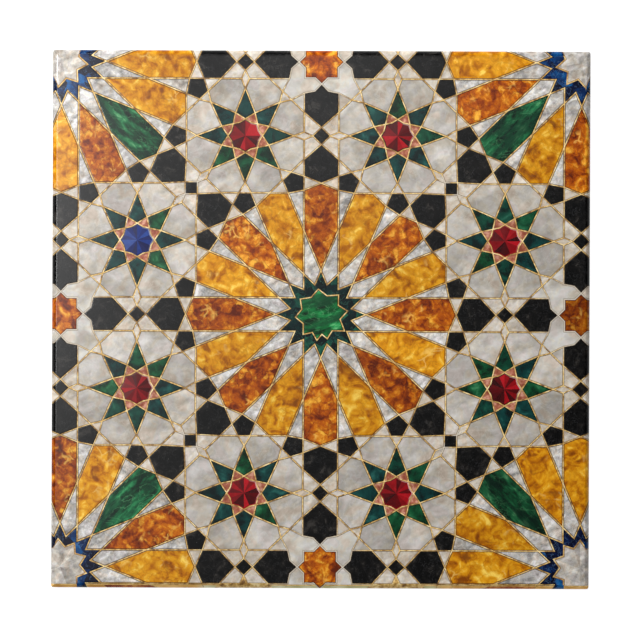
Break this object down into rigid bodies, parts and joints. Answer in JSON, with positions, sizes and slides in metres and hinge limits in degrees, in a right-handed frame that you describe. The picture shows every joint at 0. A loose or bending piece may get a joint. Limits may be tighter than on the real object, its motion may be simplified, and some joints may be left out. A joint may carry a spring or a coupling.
{
  "type": "decorated wall tile",
  "caption": "Square glazed ceramic tile with rolled edges and a zellige star pattern in gold-outlined fields; ribbed back.",
  "frame": {"origin": "centre of the tile's outline, on the plane of the back ribs that it rests on", "axes": "+Z out of the decorated face, +Y towards the top of the pictured pattern, +X to its right"},
  "size_m": [0.1524, 0.1524, 0.0065],
  "materials": {
    "glaze": "gloss"
  },
  "bodies": {
    "root": {"tile": "glaze"}
  },
  "joints": []
}
